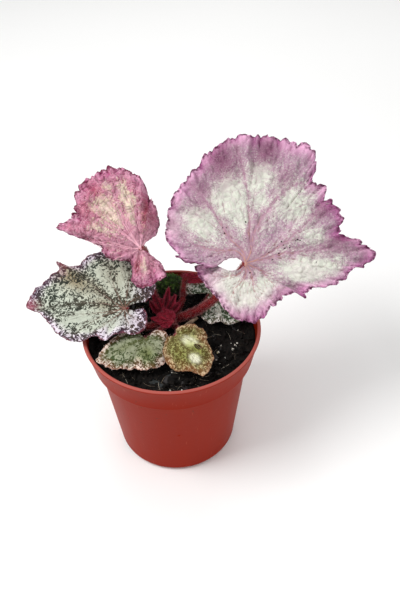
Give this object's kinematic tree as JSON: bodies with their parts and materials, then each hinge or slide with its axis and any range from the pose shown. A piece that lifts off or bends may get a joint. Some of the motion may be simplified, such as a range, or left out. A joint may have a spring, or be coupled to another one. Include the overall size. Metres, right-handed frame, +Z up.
{
  "type": "potted begonia",
  "caption": "Young rex begonia with large, veined, wavy-edged leaves on hairy stalks, growing in a round tapered plastic nursery pot filled with soil.",
  "frame": {"origin": "centre of the pot's flat underside, on the pot's axis", "axes": "+Z up along the pot's axis; -Y towards the pictured front, with the largest leaf towards +X"},
  "size_m": [0.2301, 0.1462, 0.1994],
  "materials": {
    "pot": "satin terracotta-coloured polypropylene",
    "soil": "moist dark peat compost with fibres and perlite",
    "stems": "crimson flesh with dense pale hairs",
    "big_leaf": "satin quilted leaf, silver with a mauve margin and coral veins",
    "pink_leaf": "satin quilted leaf, rose pink with pale blotches",
    "silver_leaf": "satin leaf, silver with a dark speckled net",
    "front_leaf": "satin sage-green leaf with olive veins and a pinkish edge",
    "bronze_leaf": "satin olive-brown leaf with pale speckles",
    "back_leaf": "satin silver-green speckled leaf",
    "young_leaf": "crimson young leaf with dense hairs",
    "moss": "dark green moss",
    "dry_stalk": "dry beige stalk"
  },
  "bodies": {
    "root": {"pot": "pot", "soil": "soil", "stems": "stems", "big_leaf": "big_leaf", "pink_leaf": "pink_leaf", "silver_leaf": "silver_leaf", "front_leaf": "front_leaf", "bronze_leaf": "bronze_leaf", "back_leaf": "back_leaf", "young_leaf": "young_leaf", "sheath_leaf": "young_leaf", "bud_leaf": "young_leaf", "moss": "moss", "dry_stalk": "dry_stalk"}
  },
  "joints": []
}
